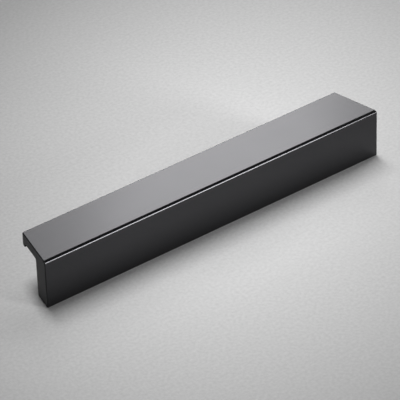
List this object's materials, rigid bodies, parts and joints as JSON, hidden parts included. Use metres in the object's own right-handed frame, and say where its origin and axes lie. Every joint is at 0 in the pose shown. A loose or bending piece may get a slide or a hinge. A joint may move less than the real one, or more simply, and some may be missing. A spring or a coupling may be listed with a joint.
{
  "type": "bar pull",
  "caption": "Black bar pull of seven-shaped section with slanted ends: a leg, a plate over the finger gap and a small turned-down lip, fixed from behind.",
  "frame": {"origin": "centre of the leg's lower face, midway between the screw holes", "axes": "+X along the bar, +Y from the leg's outer face towards the lip, +Z away from the drawer front"},
  "size_m": [0.1878, 0.025, 0.025],
  "materials": {
    "black_finish": "satin black anodised"
  },
  "bodies": {
    "root": {"pull_bar": "black_finish"}
  },
  "joints": []
}
